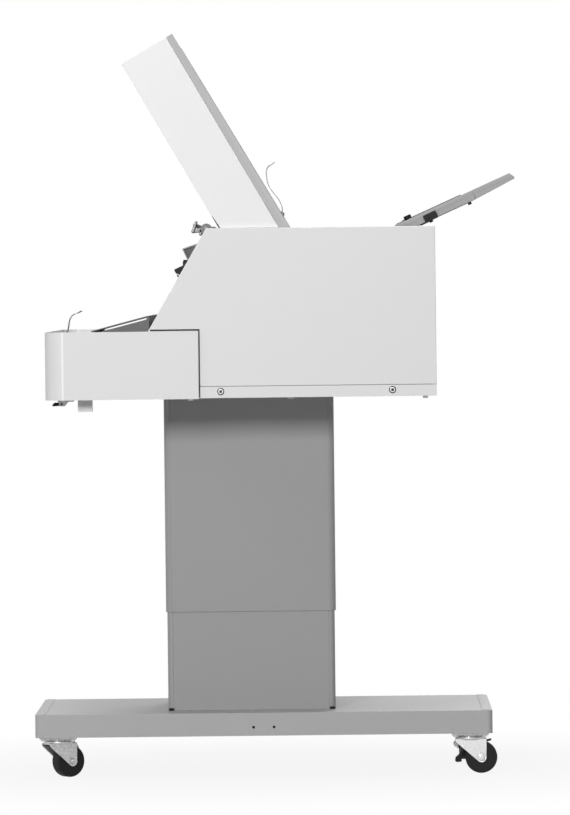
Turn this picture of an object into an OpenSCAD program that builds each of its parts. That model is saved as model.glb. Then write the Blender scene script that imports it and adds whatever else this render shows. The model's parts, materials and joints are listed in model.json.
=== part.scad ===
// Sheet-fed large format plotter on a castered lifting pedestal.
// Millimetres, +Z up, floor at z = 0. +X is the feed (rear) side, -X the delivery (front) side.
// X = 0 lies midway between the foot's front end and the feed tray's tip, Y = 0 on the mid plane.

/* [Foot] */
// Length of the foot, front to rear
foot_len = 714; // [640:1:860]
// Width of the foot, side to side
foot_w = 420; // [340:1:520]
// Height of the foot's steel box
foot_h = 36; // [30:1:60]
// Centre of the foot along X
foot_x = -21; // [-60:1:20]
// Sheet thickness of the foot
foot_wall = 3; // [2:0.5:5]
// Width of the flanges under the foot that carry the casters
foot_flange = 78; // [70:1:100]
// Plan radius of the foot's corners
foot_r = 8; // [4:1:16]
// Diameter of the anchor holes in the foot's sides
anchor_d = 4.5; // [3:0.5:8]
// Spacing of the two anchor holes
anchor_pitch = 32; // [20:1:60]

/* [Casters] */
// Height from floor to the caster's top plate
caster_h = 64; // [58:1:80]
// Wheel diameter
wheel_d = 50; // [44:1:52]
// Wheel width
wheel_w = 19; // [14:1:21]
// Axle offset behind the swivel axis
caster_trail = 17.5; // [14:0.5:22]
// Axle bolt diameter
axle_d = 6; // [5:0.5:8]
// Swivel axes in from the foot's ends
caster_inset_x = 35; // [32:1:60]
// Swivel axes in from the foot's sides
caster_inset_y = 40; // [32:1:60]

/* [Column] */
// Column centre along X
column_x = -40; // [-60:1:0]
// Column size along X
column_len = 267; // [200:1:320]
// Column size along Y
column_w = 262; // [180:1:300]
// Sheet thickness of both sleeves
column_wall = 1.5; // [1:0.1:2.5]
// Corner radius of the upper sleeve
column_r = 9; // [6:0.5:20]
// Height of the upper sleeve's lower edge
seam_z = 255; // [200:1:300]
// Height of the lower sleeve's hidden top edge
sleeve_top = 450; // [400:1:480]
// Gap between the two sleeves
sleeve_gap = 0.5; // [0.3:0.1:1]
// Lift rod diameter
rod_d = 24; // [16:1:32]

/* [Body] */
// Underside of the machine body
body_z = 594; // [560:1:640]
// Height of the machine body
body_h = 261.5; // [255:0.5:300]
// Width of the machine body
body_w = 700; // [640:1:860]
// Rear face of the body
body_rear = 252.5; // [252:0.5:258]
// Top front corner of the body
body_front = -100; // [-104:1:-96]
// Height of the knee where the slanted front turns vertical
knee_z = 697; // [690:1:704]
// Slope of the front, from the horizontal
front_slope = 60; // [59:1:61]
// Sheet thickness of the body panels
panel_t = 2; // [1.5:0.5:3]
// Height of the pan flange along the body's lower edge
pan_flange = 17.5; // [12:0.5:24]
// Gap between the body and its inner side frames
frame_gap = 16; // [14:1:24]
// Thickness of the inner side frames
frame_t = 4; // [3:0.5:6]

/* [Sheet path] */
// Slope of the platen, down towards the delivery side
path_angle = 18; // [16:1:19]
// Height of the platen at its reference point
path_z = 789.5; // [786:0.5:792]
// Feed roller diameter
feed_d = 30; // [24:1:34]
// Pinch roller diameter
pinch_d = 18; // [14:1:22]
// Side of the square carriage rail
rail_side = 24; // [18:1:28]
// Carriage width along the rail
carriage_w = 60; // [40:1:90]
// Belt pulley diameter
pulley_d = 16; // [12:1:20]

/* [Sheet holder] */
// Thickness of the leaning box
holder_t = 80; // [50:1:90]
// Length of the leaning box
holder_len = 340; // [240:1:420]
// Width of the leaning box
holder_w = 690; // [500:1:696]
// Lean of the holder from the vertical
holder_lean = 30; // [28:1:32]
// Rear lower edge of the box along X
holder_x = 12; // [8:1:14]
// Depth of the guide's side rails at the bottom
guide_low = 14.7; // [10:0.1:18]
// Depth of the guide's side rails at the top
guide_high = 10.8; // [6:0.1:14]
// Wire diameter of the finger and of the tray stop
wire_d = 2; // [1.5:0.1:3]
// Half spacing of the finger's legs
finger_half = 14; // [10:1:120]

/* [Feed tray] */
// Slope of the feed tray
tray_slope = 24; // [22:1:26]
// Length of the fixed section
tray_len = 133.5; // [120:0.5:150]
// Visible length of the extension's upper edge
extension_len = 63.5; // [50:0.5:90]
// Depth of the side rails
tray_rail = 15; // [13:0.5:18]
// Width over the side rails
tray_w = 606; // [480:1:612]
// Half spacing of the side guides at rest
side_guide = 150; // [80:1:240]

/* [Catch tray] */
// Front face of the catch tray
catch_front = -351; // [-372:1:-330]
// Rear end of the catch tray's sides
catch_rear = -114; // [-130:1:-100]
// Height of the catch tray
catch_h = 104.5; // [80:0.5:104.5]
// Plan radius of the tray's front corners
catch_r = 28; // [12:1:50]
// Gap between the body's sides and the tray's sides
catch_gap = 1.5; // [1:0.1:3]
// Half spacing of the wire stop's legs
stop_half = 14; // [10:1:160]

/* [Controls] */
// Control panel size along X
panel_x = 80; // [60:1:86]
// Control panel size along Y
panel_y = 240; // [200:1:280]
// Button diameter
button_d = 14; // [10:1:18]

/* [Hidden] */
$fn = 48;
FIT = 0.05;
SLIP = 0.3;
BIG = 2000;

foot_top = caster_h + foot_h;
foot_front = foot_x - foot_len / 2;
foot_back = foot_x + foot_len / 2;
body_top = body_z + body_h;
half_w = body_w / 2;
skin = half_w - panel_t;
frame_out = half_w - frame_gap;
frame_in = frame_out - frame_t;
knee_x = body_front - (body_top - knee_z) / tan(front_slope);
pan_top = body_z + pan_flange;
shell_z = pan_top + 0.5;
cover_z = body_top - panel_t;

// Casters: name, side along X, side along Y, swivel at rest, has a brake
CASTERS = [
    ["front_near", -1, -1, 34, false],
    ["rear_near", 1, -1, 0, true],
    ["front_far", -1, 1, -88, false],
    ["rear_far", 1, 1, -94, true]
];
plate_t = 3;
plate_side = 58;
race_h = 3.5;
race_z = caster_h - plate_t - race_h;
fork_gap = wheel_w / 2 + 1.5;
fork_wall = 2.5;
crown_d = 46;
king_d = 10;
axle_z = wheel_d / 2;
brake_x = -10;
brake_z = 42;
brake_pin = 4;

// Column
upper_in_len = column_len - 2 * column_wall;
upper_in_w = column_w - 2 * column_wall;
lower_len = upper_in_len - 2 * sleeve_gap;
lower_w = upper_in_w - 2 * sleeve_gap;
drive_d = rod_d + 26;
drive_top = sleeve_top - 10;
cap_t = 6;

// Sheet path
path_x = -1;
platen_t = 3;
platen_s0 = -172;
platen_s1 = 172;
feed_s = 35;
feed_n = 0.3 - feed_d / 2;
feed_core = 12;
feed_half = frame_in - 30;
pinch_n = 0.7 + pinch_d / 2;
pinch_axle = 6;
PINCH_Y = [-250, -90, 90, 250];
pinch_len = 30;
arm_s = 62;
arm_n = 22;
arm_shaft = 10;
rail_s = -58;
rail_n = 40;
carriage_s0 = -96;
carriage_s1 = -36;
carriage_n0 = 15;
carriage_n1 = 62;
belt_s = -26;
belt_n = 44;
belt_t = 1.5;
belt_h = 6;
pulley_y = frame_in - 22;
motor_side = 40;
tool_depth = 16;

// Sheet holder
holder_z = body_top + 0.3;
holder_pivot = [holder_x + 22, body_top - 9.5];
holder_pin = 8;
lug_y = frame_in - 8;
lug_t = 6;
holder_wall = 2;
guide_gap = 0.3;
FINGER = [[14.6, 18.3], [20.9, 30.5], [19.6, 69], [22.3, 78.6], [32, 93.7], [42, 95]];

// Feed tray
tray_x = body_rear - 64;
tray_z = body_top;
tray_wall = 1.5;
tray_pivot = [-5.8, -16.7];
tray_pin = 8;
bed_n = -5;
bed_t = 1.5;
slide_n = bed_n - bed_t - 0.7;
lip_n = slide_n - bed_t - SLIP;
knob_u = 28;
knob_d = 12;
knob_n = 7;

// Catch tray
catch_z = body_z - 1;
catch_out = half_w + catch_gap + panel_t;
catch_wall = 2;
runner_y = 200;
runner_w = 30;
runner_z = 600;
runner_t = 6;
stop_pivot = [catch_front + 21, knee_z - 7];
STOP = [[0, 0], [3, 10], [9, 31], [21, 37]];
latch_pivot = [catch_front + 24, body_z - 7.5];
latch_pin = 3;
latch_y0 = -300;
latch_y1 = -270;

// Slanted front, measured down the slope and inwards
cover_s0 = 18;
cover_s1 = 124;
cover_n = 3;
cover_pivot = [15, 11];
cover_pin = 5;
grip_half = 296;
cover_half = skin - 1;
release_pivot = [0.6, 0.9];
release_d = 8;
GRIP = [-18.6, 9];

// Controls
panel_cx = 102;
panel_cy = 180;
panel_h = 10;
press = 1;
BUTTONS = [["start", 95], ["stop", 125], ["menu", 155]];
button_x = 82;
inlet_y = 205;
inlet_z = 644;

CASTER_NODES = [for (part = ["fork", "wheel"]) for (c = CASTERS) str("caster_", part, "_", c[0])];

// ---- helpers ----

// Slab between two Y planes whose outline is drawn in X and Z
module slab(y0, y1) {
    translate([0, y1, 0]) rotate([90, 0, 0]) linear_extrude(y1 - y0) children();
}

// Round bar along Y at a point given in X and Z
module bar_y(at, d, y0, y1) {
    translate([at.x, y1, at.y]) rotate([90, 0, 0]) cylinder(d = d, h = y1 - y0);
}

// Box from two opposite corners
module block(a, b) {
    translate(a) cube(b - a);
}

// Plan outline of a rectangle with round corners
module round_rect(size, r) {
    square([size.x - 2 * r, size.y], center = true);
    square([size.x, size.y - 2 * r], center = true);
    for (i = [-1, 1]) for (j = [-1, 1])
        translate([i * (size.x / 2 - r), j * (size.y / 2 - r)]) circle(r);
}

// Bent wire through points given in X and Z
module wire(points, y) {
    translate([0, y, 0]) for (i = [0 : len(points) - 2]) {
        a = points[i];
        b = points[i + 1];
        translate([a.x, 0, a.y]) rotate([0, atan2(b.x - a.x, b.y - a.y), 0])
            cylinder(d = wire_d, h = norm(b - a), $fn = 16);
        translate([b.x, 0, b.y]) sphere(d = wire_d * 1.1, $fn = 16);
    }
}

// Local frames: X along the sheet, Z away from it
module on_path() { translate([path_x, 0, path_z]) rotate([0, -path_angle, 0]) children(); }
module on_tray() { translate([tray_x, 0, tray_z]) rotate([0, -tray_slope, 0]) children(); }
module on_holder() { translate([holder_x, 0, holder_z]) rotate([0, -holder_lean, 0]) children(); }
// Local frame of the slanted front: X down the slope, Z inwards
module on_front() { translate([body_front, 0, body_top]) rotate([0, 180 - front_slope, 0]) children(); }
// Local frame of a caster: swivel axis at X = 0, wheel trailing towards +X
module on_caster(c) {
    translate([foot_x + c[1] * (foot_len / 2 - caster_inset_x), c[2] * (foot_w / 2 - caster_inset_y), 0])
        rotate([0, 0, c[3]]) children();
}

// ---- casters ----

module caster_plates() {
    color("silver") for (c = CASTERS) on_caster(c) difference() {
        union() {
            rotate([0, 0, -c[3]]) translate([-plate_side / 2, -plate_side / 2, caster_h - plate_t])
                cube([plate_side, plate_side, plate_t]);
            translate([0, 0, race_z]) cylinder(d = 40, h = race_h + 0.5);
        }
        translate([0, 0, race_z - 1]) cylinder(d = king_d + 2 * FIT, h = race_h + plate_t);
    }
}

module fork_leg(y0) {
    slab(y0, y0 + fork_wall) {
        polygon([[-crown_d / 2, race_z - 3.5], [crown_d / 2 + 3, race_z - 3.5], [caster_trail + 8, axle_z],
            [caster_trail - 5.7, axle_z - 5.6], [-crown_d / 2, race_z - 8]]);
        translate([caster_trail, axle_z]) circle(8);
    }
}

module caster_fork(c) {
    top = race_z - SLIP;
    color("gainsboro") on_caster(c) difference() {
        union() {
            translate([0, 0, top - 3.5]) cylinder(d = crown_d, h = 3.5);
            translate([0, 0, top - 1]) cylinder(d = king_d, h = race_h + plate_t - 0.7);
            for (y0 = [-fork_gap - fork_wall, fork_gap]) fork_leg(y0);
            bar_y([caster_trail, axle_z], axle_d, -fork_gap - 6, fork_gap + 6);
            for (y0 = [-fork_gap - 5, fork_gap + fork_wall - 1])
                translate([caster_trail, y0 + 3.5, axle_z]) rotate([90, 0, 0])
                    cylinder(d = 11, h = 3.5, $fn = 6);
        }
        if (c[4]) bar_y([brake_x, brake_z], brake_pin + 2 * FIT, -50, 50);
    }
}

module caster_wheel(c) {
    hub_y = fork_gap - 0.4;
    color("dimgray") on_caster(c) translate([caster_trail, 0, axle_z]) rotate([90, 0, 0]) difference() {
        union() {
            cylinder(d = wheel_d - 3, h = wheel_w, center = true);
            cylinder(d = wheel_d, h = wheel_w - 4, center = true);
            cylinder(d = 13, h = 2 * hub_y, center = true);
        }
        for (side = [-1, 1]) translate([0, 0, side * wheel_w / 2]) difference() {
            cylinder(d = wheel_d - 14, h = 4, center = true);
            cylinder(d = 13, h = 5, center = true);
        }
        cylinder(d = axle_d + 2 * FIT, h = 2 * hub_y + 2, center = true);
    }
}

module caster_brake(c) {
    width = fork_gap - SLIP;
    color("black") on_caster(c) {
        slab(-width, width) {
            translate([brake_x, brake_z]) circle(3.5);
            polygon([[-13.4, 42], [-8, 39.2], [-14.5, 27], [-13, 19], [-21, 17.5], [-23.5, 19], [-23, 24],
                [-17.5, 29]]);
        }
        bar_y([brake_x, brake_z], brake_pin, -fork_gap - fork_wall - 0.5, fork_gap + fork_wall + 0.5);
    }
}

// ---- foot and column ----

module foot() {
    in_x = foot_len - 2 * foot_wall;
    in_y = foot_w - 2 * foot_wall;
    color("silver") translate([foot_x, 0, caster_h]) difference() {
        linear_extrude(foot_h) round_rect([foot_len, foot_w], foot_r);
        translate([-in_x / 2, -in_y / 2, foot_wall]) cube([in_x, in_y, foot_h - 2 * foot_wall]);
        translate([foot_flange - foot_len / 2, foot_flange - foot_w / 2, -1])
            cube([foot_len - 2 * foot_flange, foot_w - 2 * foot_flange, foot_wall + 2]);
        for (side = [-1, 1])
            bar_y([side * anchor_pitch / 2, foot_h * 3 / 8], anchor_d, -foot_w, foot_w);
    }
}

module foot_trim() {
    color("silver") for (side = [-1, 1]) translate([foot_x + side * (foot_len / 2 - 12), 0, foot_top])
        block([-4, -foot_w / 2 + foot_r, 0], [4, foot_w / 2 - foot_r, 1]);
}

module sleeve(len_x, len_y, r, z0, z1) {
    translate([column_x, 0, z0]) linear_extrude(z1 - z0) difference() {
        round_rect([len_x, len_y], r);
        round_rect([len_x - 2 * column_wall, len_y - 2 * column_wall], r - column_wall);
    }
}

module column_lower() {
    r = column_r - column_wall - sleeve_gap;
    color("darkgray") {
        sleeve(lower_len, lower_w, r, foot_top, sleeve_top);
        translate([column_x, 0, foot_top]) linear_extrude(4) difference() {
            round_rect([lower_len - 1, lower_w - 1], r);
            circle(d = drive_d + 82);
        }
    }
}

module column_upper() {
    color("darkgray") {
        sleeve(column_len, column_w, column_r, seam_z, body_z);
        translate([column_x, 0, body_z - cap_t]) linear_extrude(cap_t)
            round_rect([column_len - 1, column_w - 1], column_r);
    }
}

module lift_drive() {
    color("dimgray") translate([column_x, 0, foot_top]) difference() {
        union() {
            cylinder(d = drive_d, h = drive_top - foot_top);
            translate([0, -35, 0]) cube([50, 70, 90]);
        }
        translate([0, 0, 40]) cylinder(d = rod_d + 2 * FIT, h = BIG);
    }
}

module lift_rod() {
    z0 = foot_top + 60;
    color("gainsboro") translate([column_x, 0, z0]) cylinder(d = rod_d, h = body_z - cap_t - z0);
}

// ---- body shell ----

module bottom_pan() {
    color("gainsboro") difference() {
        block([knee_x, -half_w, body_z], [body_rear, half_w, pan_top]);
        block([knee_x + panel_t, -skin, body_z + panel_t], [body_rear - panel_t, skin, pan_top + 1]);
        for (y = [-runner_y, runner_y])
            block([knee_x - 1, y - runner_w / 2 - SLIP, runner_z - SLIP],
                [knee_x + panel_t + 1, y + runner_w / 2 + SLIP, runner_z + runner_t + SLIP]);
    }
}

module side_outline() {
    polygon([[knee_x, shell_z], [knee_x, knee_z], [body_front, body_top], [body_rear, body_top],
        [body_rear, shell_z]]);
}

module side_panel_near() { color("whitesmoke") slab(-half_w, -skin) side_outline(); }
module side_panel_far() { color("whitesmoke") slab(skin, half_w) side_outline(); }

module rear_panel() {
    color("whitesmoke") difference() {
        block([body_rear - panel_t, -skin, shell_z], [body_rear, skin, cover_z]);
        block([body_rear - BIG, inlet_y - 28, inlet_z - 12], [body_rear + 1, inlet_y + 28, inlet_z + 12]);
    }
}

module top_cover() {
    slot_y = lug_t / 2 + 1;
    color("whitesmoke") difference() {
        block([body_front + 14, -skin, cover_z], [body_rear, skin, body_top]);
        block([tray_x - 38, -half_w + 38, cover_z - 1], [body_rear + 1, half_w - 38, body_top + 1]);
        for (y = [-lug_y, lug_y])
            block([holder_x - 28, y - slot_y, cover_z - 1], [holder_x + 34, y + slot_y, body_top + 1]);
        block([panel_cx - panel_x / 2 - SLIP, panel_cy - panel_y / 2 - SLIP, cover_z - 1],
            [panel_cx + panel_x / 2 + SLIP, panel_cy + panel_y / 2 + SLIP, body_top + 1]);
    }
}

module front_lower() {
    lip = 23.5;
    dx = lip / tan(front_slope);
    x0 = knee_x + 1;
    color("whitesmoke") difference() {
        slab(-skin + 0.5, skin - 0.5) polygon([[x0, shell_z], [x0, knee_z], [x0 + dx, knee_z + lip],
            [x0 + dx + panel_t, knee_z + lip], [x0 + panel_t, knee_z], [x0 + panel_t, shell_z]]);
    }
}

module body_fasteners() {
    color("dimgray") {
        for (x = [body_front + 20, body_rear - 68]) for (side = [-1, 1])
            translate([x, side * (half_w + 0.6), body_z + 10]) rotate([90, 0, 0])
                cylinder(d = 8.7, h = 1.2, center = true);
        for (x = [-127, body_rear - 17]) for (side = [-1, 1])
            translate([x, side * (half_w - 30), body_z - 4]) cylinder(d = 9, h = 4);
    }
}

// ---- chassis ----

module frame_plate(y0) {
    inset = 8 / sin(front_slope);
    top_z = cover_z - 1;
    top_x = body_front - (body_top - top_z) / tan(front_slope) + inset;
    difference() {
        union() {
            slab(y0, y0 + frame_t) polygon([[knee_x + inset, body_z + panel_t], [knee_x + inset, knee_z],
                [top_x, top_z], [body_rear - 5, top_z], [body_rear - 5, body_z + panel_t]]);
            on_front() bar_y(release_pivot, 17, y0, y0 + frame_t);
            on_front() bar_y(cover_pivot, cover_pin + 6, y0, y0 + frame_t);
            on_front() slab(y0, y0 + frame_t) polygon([[0, 2], [0, 14], [12, 14], [8, 4]]);
        }
        on_front() bar_y(release_pivot, release_d + 2 * FIT, -BIG, BIG);
        on_front() bar_y(cover_pivot, cover_pin + 2 * FIT, -BIG, BIG);
        bar_y(holder_pivot, holder_pin + 2 * FIT, -BIG, BIG);
        on_path() bar_y([feed_s, feed_n], feed_core + 2 * FIT, -BIG, BIG);
        on_path() bar_y([arm_s, arm_n], arm_shaft + 2 * FIT, -BIG, BIG);
        on_tray() bar_y(tray_pivot, tray_pin + 2 * FIT, -BIG, BIG);
    }
}

module chassis_frame() {
    tube = 30;
    color("slategray") {
        for (y0 = [-frame_out, frame_in]) frame_plate(y0);
        for (at = [[-150, 640], [100, 700], [215, 700]]) translate([at.x, -frame_in, at.y]) difference() {
            cube([tube, 2 * frame_in, tube]);
            translate([2, -1, 2]) cube([tube - 4, 2 * frame_in + 2, tube - 4]);
        }
    }
}

module platen() {
    slot = sqrt(pow(feed_d / 2, 2) - pow(feed_n + platen_t, 2)) + 1.1;
    color("darkgray") on_path() difference() {
        block([platen_s0, -frame_in, -platen_t], [platen_s1, frame_in, 0]);
        block([feed_s - slot, -feed_half - 1, -BIG], [feed_s + slot, feed_half + 1, BIG]);
    }
}

module carriage_rail() {
    color("silver") on_path() translate([rail_s - rail_side / 2, -frame_in, rail_n - rail_side / 2])
        cube([rail_side, 2 * frame_in, rail_side]);
}

module main_board() {
    z0 = body_z + panel_t;
    color("seagreen") {
        block([40, -280, z0 + 8], [200, -60, z0 + 10]);
        for (x = [46, 194]) for (y = [-274, -66]) translate([x, y, z0]) cylinder(d = 6, h = 8.5);
        block([80, -220, z0 + 9], [120, -180, z0 + 13]);
        block([140, -250, z0 + 9], [180, -150, z0 + 22]);
    }
}

module power_supply() {
    color("silver") block([40, 30, body_z + panel_t], [140, 160, body_z + panel_t + 50]);
}

module power_inlet() {
    color("black") translate([body_rear, inlet_y, inlet_z]) difference() {
        union() {
            block([0, -32, -15], [2, 32, 15]);
            block([-26, -27.5, -11.5], [1, 27.5, 11.5]);
        }
        block([-18, -22, -7.5], [3, 0, 7.5]);
        block([-14, 6, -9.5], [3, 23, 9.5]);
    }
}

module power_switch() {
    color("firebrick") translate([body_rear, inlet_y + 14.5, inlet_z]) {
        slab(-8, 8) polygon([[-7, -8.6], [0.5, -7.6], [-1, 0], [1.8, 7.6], [-6, 8.6], [-10, 0]]);
    }
}

module control_panel() {
    color("black") translate([panel_cx, panel_cy, body_top]) difference() {
        translate([-panel_x / 2, -panel_y / 2, -panel_h]) cube([panel_x, panel_y, panel_h]);
        for (b = BUTTONS) translate([button_x - panel_cx, b[1] - panel_cy, 0]) {
            translate([0, 0, -3]) cylinder(d = button_d + 2 * SLIP, h = 4);
            translate([0, 0, -8.5]) cylinder(d = button_d + 5, h = 6);
        }
        translate([-28, -35, -1]) cube([56, 140, 2]);
    }
}

module button(y) {
    color("silver") translate([button_x, y, body_top]) {
        translate([0, 0, -5]) cylinder(d = button_d, h = 7);
        translate([0, 0, -6]) cylinder(d = button_d + 4, h = 2.5);
    }
}

module drive_motors() {
    color("dimgray") {
        on_path() difference() {
            bar_y([feed_s, feed_n], 64, frame_out, skin - 2);
            bar_y([feed_s, feed_n], feed_core + 2 * FIT, 0, BIG);
        }
        on_path() translate([belt_s - motor_side / 2, pulley_y - motor_side / 2, 0]) difference() {
            cube([motor_side, motor_side, belt_n - 8]);
            translate([motor_side / 2, motor_side / 2, 10]) cylinder(d = 5 + 2 * FIT, h = BIG);
        }
        on_path() translate([belt_s, -pulley_y, 0]) difference() {
            translate([-12, -12, 0]) cube([24, 24, belt_n - 8]);
            translate([0, 0, 10]) cylinder(d = 5 + 2 * FIT, h = BIG);
        }
    }
}

module drive_belt() {
    r = pulley_d / 2 + 0.2;
    color("black") on_path() translate([belt_s, 0, belt_n - belt_h / 2]) linear_extrude(belt_h) difference() {
        union() {
            square([2 * (r + belt_t), 2 * pulley_y], center = true);
            for (y = [-pulley_y, pulley_y]) translate([0, y]) circle(r + belt_t);
        }
        square([2 * r, 2 * pulley_y], center = true);
        for (y = [-pulley_y, pulley_y]) translate([0, y]) circle(r);
    }
}

module pulley(y) {
    color("silver") on_path() translate([belt_s, y, 0]) {
        translate([0, 0, 12]) cylinder(d = 5, h = belt_n - 8);
        translate([0, 0, belt_n - 7]) cylinder(d = pulley_d + 6, h = 3);
        translate([0, 0, belt_n - 7]) cylinder(d = pulley_d, h = 13);
        translate([0, 0, belt_n + 4]) cylinder(d = pulley_d + 6, h = 2);
    }
}

module feed_roller() {
    color("dimgray") on_path() {
        bar_y([feed_s, feed_n], feed_d, -feed_half, feed_half);
        bar_y([feed_s, feed_n], feed_core, -frame_out - 3, skin - 5);
    }
}

module pinch_bar() {
    end = pinch_len / 2 + 4;
    color("slategray") on_path() {
        bar_y([arm_s, arm_n], arm_shaft, -frame_out - 2, frame_out + 2);
        for (y = PINCH_Y) {
            bar_y([feed_s, pinch_n], pinch_axle, y - end, y + end);
            for (y0 = [y - end, y + end - 3]) slab(y0, y0 + 3) {
                translate([feed_s, pinch_n]) circle(5);
                translate([arm_s, arm_n]) circle(7);
                polygon([[feed_s - 2, pinch_n + 4.6], [feed_s + 2, pinch_n - 4.6],
                    [arm_s + 3, arm_n - 6], [arm_s - 3, arm_n + 6]]);
            }
        }
    }
}

module pinch_rollers() {
    color("black") on_path() for (y = PINCH_Y) difference() {
        bar_y([feed_s, pinch_n], pinch_d, y - pinch_len / 2, y + pinch_len / 2);
        bar_y([feed_s, pinch_n], pinch_axle + 2 * FIT, -BIG, BIG);
    }
}

module carriage() {
    hole = rail_side / 2 + SLIP;
    color("darkslategray") on_path() difference() {
        block([carriage_s0, -carriage_w / 2, carriage_n0], [carriage_s1, carriage_w / 2, carriage_n1]);
        block([rail_s - hole, -BIG, rail_n - hole], [rail_s + hole, BIG, rail_n + hole]);
    }
}

module tool_holder() {
    s0 = carriage_s0 - SLIP - tool_depth;
    color("silver") on_path() {
        block([s0, -14, 12], [carriage_s0 - SLIP, 14, 44]);
        translate([s0 + tool_depth / 2, 0, 6]) cylinder(d = 9, h = 8);
        translate([s0 + tool_depth / 2, 0, 3]) cylinder(d = 2, h = 4, $fn = 24);
    }
}

// ---- slanted front ----

module front_cover() {
    lug_in = cover_pivot.y - 4;
    color("whitesmoke") on_front() {
        slab(-cover_half, cover_half)
            polygon([[cover_s0, cover_n], [cover_s1, cover_n], [cover_s1, cover_n + panel_t],
                [cover_s0, cover_n + panel_t]]);
        for (side = [-1, 1]) {
            y = side * (frame_in - 8);
            slab(y - 4, y + 4) {
                translate(cover_pivot) circle(4.5);
                polygon([[cover_s0, cover_n + 1], [cover_s0 + 14, cover_n + 1], [cover_pivot.x + 2, lug_in + 8],
                    [cover_pivot.x, lug_in]]);
            }
            bar_y(cover_pivot, cover_pin, side < 0 ? -frame_out - 1 : frame_in - 8,
                side < 0 ? -frame_in + 8 : frame_out + 1);
        }
    }
}

module exit_channel() {
    color("gray") on_front() slab(-300, 300) difference() {
        polygon([[26, cover_n], [57, cover_n], [57, -1.7], [45.8, -17.4], [26, 0]]);
        polygon([[30, cover_n + 1], [54, cover_n + 1], [54.5, -0.5], [45.2, -14], [30, 0.5]]);
    }
}

module cover_grip() {
    color("black") on_front() slab(-grip_half, grip_half) {
        polygon([[61.6, cover_n], [61.6, 0], [80.1, -12.7], [87.9, -1.2], [87.9, cover_n]]);
        polygon([[59, cover_n], [58.2, -5.5], [60, -7.5], [66, -5.5], [67, -2.5], [66, cover_n]]);
    }
}

module release_lever() {
    tip = [release_pivot.x - GRIP.x * cos(front_slope) - GRIP.y * sin(front_slope),
        release_pivot.y + GRIP.x * sin(front_slope) - GRIP.y * cos(front_slope)];
    color("dimgray") on_front() {
        bar_y(release_pivot, release_d, -frame_out - 2, frame_out + 2);
        bar_y(tip, 7, -frame_in + 4, frame_in - 4);
        for (side = [-1, 1]) {
            y = side * (frame_in - 7);
            slab(y - 3, y + 3) {
                translate(tip) circle(3.5);
                translate(release_pivot) circle(6.5);
                polygon([tip + [3, 1.8], tip - [3, 1.8], release_pivot - [4, 3], release_pivot + [4, 3]]);
            }
        }
    }
}

module delivery_ramp() {
    x1 = knee_x + 1;
    color("lightgray") slab(-290, 290) difference() {
        polygon([[x1 - 90, knee_z + 2], [x1 - 5, knee_z + 24], [x1, knee_z + 24], [x1, knee_z - 57],
            [x1 - 2, knee_z - 57], [x1 - 2, knee_z + 17.5], [x1 - 90, knee_z - 4.5]]);
        polygon([[x1 - 87, knee_z + 0.8], [x1 - 4, knee_z + 22], [x1 - 4, knee_z + 19],
            [x1 - 87, knee_z - 2.2]]);
    }
    color("lightgray") for (y = [-290, 288]) slab(y, y + 2)
        polygon([[x1 - 80, knee_z - 1.2], [x1 - 1, knee_z + 18.2], [x1 - 1, knee_z - 12], [x1 - 80, knee_z - 12]]);
}

// ---- sheet holder ----

module holder_box() {
    wall = holder_wall;
    color("white") {
        difference() {
            on_holder() difference() {
                block([-holder_t, -holder_w / 2, -60], [0, holder_w / 2, holder_len]);
                block([wall - holder_t, wall - holder_w / 2, -80], [-wall, holder_w / 2 - wall, holder_len - wall]);
            }
            block([-BIG, -BIG, 0], [BIG, BIG, holder_z]);
        }
        for (side = [-1, 1]) {
            y = side * lug_y;
            slab(y - lug_t / 2, y + lug_t / 2) {
                polygon([[holder_x - 26, holder_z + 1], [holder_x - 21, holder_z + 15],
                    [holder_x - 10, holder_z + 15], [holder_x - 1.8, holder_z + 1], [holder_x, cover_z],
                    [holder_pivot.x, cover_z - 0.5], [holder_pivot.x, holder_pivot.y - 7],
                    [holder_x + 8, holder_pivot.y - 7], [holder_x - 24, cover_z - 5]]);
                translate(holder_pivot) circle(7);
            }
            bar_y(holder_pivot, holder_pin, side < 0 ? -frame_out - 2 : lug_y, side < 0 ? -lug_y : frame_out + 2);
        }
    }
}

module holder_guide() {
    ear = FINGER[0];
    color("silver") difference() {
        on_holder() {
            for (side = [-1, 1]) {
                y = side * (holder_w / 2 - 1);
                slab(y - 1, y + 1) polygon([[guide_gap, -40], [guide_low, -40], [guide_low, 0],
                    [guide_high, holder_len], [guide_gap, holder_len]]);
            }
            block([guide_gap, 1 - holder_w / 2, -20], [guide_gap + 2, holder_w / 2 - 1, holder_len]);
            for (side = [-1, 1]) {
                y = side * (finger_half + 6);
                slab(y - 1.5, y + 1.5) difference() {
                    polygon([[guide_gap + 1, 8], [ear.x + 1, 14], [ear.x + 4, 18], [ear.x + 1, 23],
                        [guide_gap + 1, 30]]);
                    translate(ear) circle(d = wire_d + 2 * FIT);
                }
            }
        }
        block([-BIG, -BIG, 0], [BIG, BIG, holder_z + 0.5]);
    }
}

module holder_finger() {
    tip = FINGER[len(FINGER) - 1];
    color("dimgray") on_holder() {
        for (side = [-1, 1]) wire(FINGER, side * finger_half);
        bar_y(FINGER[0], wire_d, -finger_half - 10, finger_half + 10);
        bar_y(tip, wire_d, -finger_half, finger_half);
    }
}

// ---- feed tray ----

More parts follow.
